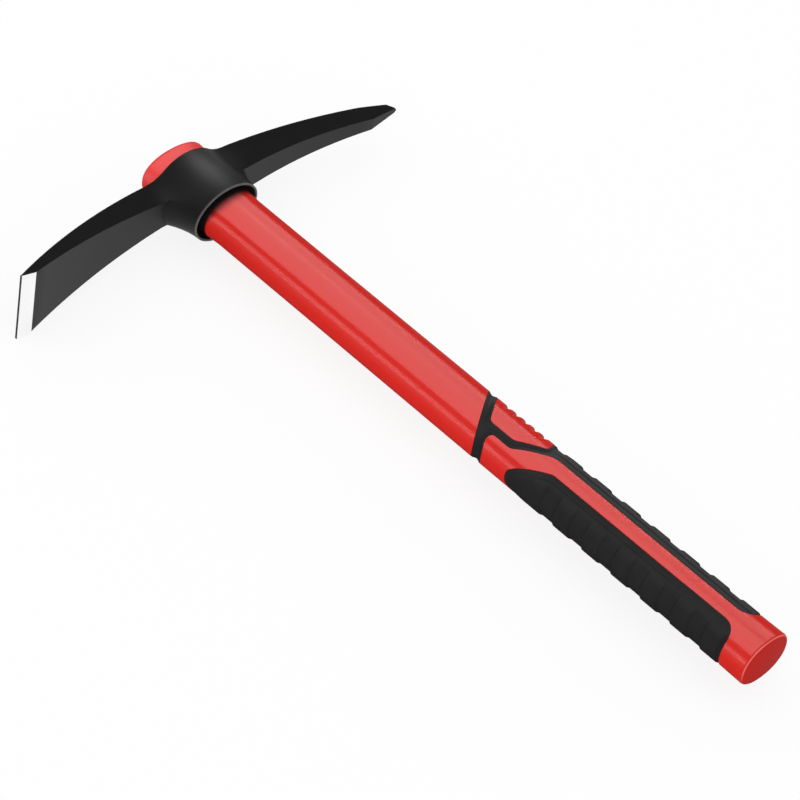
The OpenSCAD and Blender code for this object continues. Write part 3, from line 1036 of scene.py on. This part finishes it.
floor()
print("floor", FLOOR_SIZE, "m square")

# %% [markdown]
# ## Panels and cards
#
# A panel is an area lamp of a given level that faces its target. A fill is a panel that gives no gloss,
# and a sheen is one that gives nothing else, as a white card does in a photographer's studio. A card for
# the handle stands where the handle mirrors it to the camera, so two angles are enough to say where
# round the handle its sheen lies.

# %% Panels and cards
MIDDLE, ACROSS = (0, 0, 0.02), (0, 1, 0)
FILL_FAR, FILL_ACROSS = 1.5, (0, 1, 0.1)
CARD_FAR, CARD_LONG = 2.0, 1.6
MIRROR_ALONG, MIRROR_ROUND = -VIEW_BACK.x, VIEW_BACK.yz.length


def panel(name, target, way, along, distance, width, height, level):
    back = Vector(way).normalized()
    across = (Vector(along) - back * back.dot(Vector(along))).normalized()
    light = bpy.data.lights.new(name, "AREA")
    light.shape = "RECTANGLE"
    light.size, light.size_y = width, height
    light.energy = level * math.pi * width * height
    made = bpy.data.objects.new(name, light)
    turn = Matrix((across, back.cross(across), back)).transposed().to_4x4()
    made.matrix_world = Matrix.Translation(Vector(target) + back * distance) @ turn
    bpy.context.scene.collection.objects.link(made)
    return made


def fill(name, way, width, height, level, pieces):
    made = panel(name, MIDDLE, way, FILL_ACROSS, FILL_FAR, width, height, level)
    made.visible_glossy = False
    if pieces:
        only_on(made, pieces)


def sheen(pieces, *placing):
    made = panel(*placing)
    made.visible_diffuse = False
    only_on(made, pieces)


def card(name, low, high, level, pieces):
    middle, half = math.radians((low + high) / 2), math.radians((high - low) / 2)
    way = (MIRROR_ALONG, MIRROR_ROUND * math.sin(middle), MIRROR_ROUND * math.cos(middle))
    along = (0, math.cos(middle), -math.sin(middle))
    sheen(pieces, name, MIDDLE, way, along, CARD_FAR, 2 * CARD_FAR * math.tan(half), CARD_LONG, level)


# %% [markdown]
# ## Studio light
#
# A white world and one wide panel light everything evenly, and two more panels brighten the sides of
# the handle. Cards give the handle and the pads their gloss. One more card stands below, for the
# undersides of the arms, and one behind, for views from the back, and a narrow lamp makes the bright
# spot on the eye. Apart from the wide panel, each lights only the pieces that it is meant for, so the
# floor does not stand in its way.

# %% Studio light
WORLD_LEVEL = 0.86
# A fill has a name, the way to it, its width, height and level, and its pieces; with none, it lights all.
FILLS = (
    ("key", (-0.35, -0.1, 1.0), 2.4, 2.4, 0.3, ()),
    ("side_fill", (-0.2, -1.0, 0.12), 1.6, 1.2, 1.7, (jacket,)),
    ("far_fill", (-0.2, 1.0, 0.3), 1.6, 1.2, 1.2, (jacket,)))
# A card has a name, the two angles of its sheen in degrees, its level and its pieces.
CARDS = (
    ("broad_sheen", -38, 27, 3.3, (jacket,)),
    ("far_sheen", 31.5, 61, 2.5, (jacket,)),
    ("edge_sheen", -112, -72, 2.6, (jacket,)),
    ("pad_sheen", -52, -28, 1.0, (finger, back)),
    ("pad_far_sheen", 48, 92, 1.2, (back,)))
UNDER_WAY, UNDER_FAR, UNDER_SIZE, UNDER_LEVEL = (0.5, 0.55, -0.67), 1.0, 0.9, 1.6
REAR_WAY, REAR_WIDTH, REAR_HEIGHT, REAR_LEVEL = (0.66, 0, 0.75), 1.3, 1.1, 2.4
EYE_IN, EYE_SIDE, EYE_UP = 20 * MM, 4.5 * MM, 17.5 * MM
LAMP_WAY = (-VIEW_BACK.x, -VIEW_BACK.y, VIEW_BACK.z)
LAMP_FAR, LAMP_SIZE, LAMP_SPREAD, LAMP_LEVEL = 0.5, 28 * MM, math.radians(4), 0.75


def eye_lamp():
    spot = (RIM_X - EYE_IN, EYE_SIDE, AXIS.z + EYE_UP)
    made = panel("eye_lamp", spot, LAMP_WAY, ACROSS, LAMP_FAR, LAMP_SIZE, LAMP_SIZE, LAMP_LEVEL)
    made.data.spread = LAMP_SPREAD
    only_on(made, (head,))


def world():
    made = bpy.data.worlds.new("studio_world")
    made.use_nodes = True
    bpy.context.scene.world = made
    background = made.node_tree.nodes["Background"]
    background.inputs["Color"].default_value = WHITE
    background.inputs["Strength"].default_value = WORLD_LEVEL
    made.cycles_visibility.glossy = False


def studio():
    world()
    for row in FILLS:
        fill(*row)
    for row in CARDS:
        card(*row)
    socket = (RIM_X - EYE_IN, 0, AXIS.z)
    sheen((head,), "under_sheen", socket, UNDER_WAY, ACROSS, UNDER_FAR, UNDER_SIZE, UNDER_SIZE, UNDER_LEVEL)
    sheen((jacket, head, finger, back), "back_sheen", MIDDLE, REAR_WAY, ACROSS, CARD_FAR, REAR_WIDTH,
          REAR_HEIGHT, REAR_LEVEL)
    eye_lamp()
    bpy.context.scene.view_settings.view_transform = "Standard"


studio()
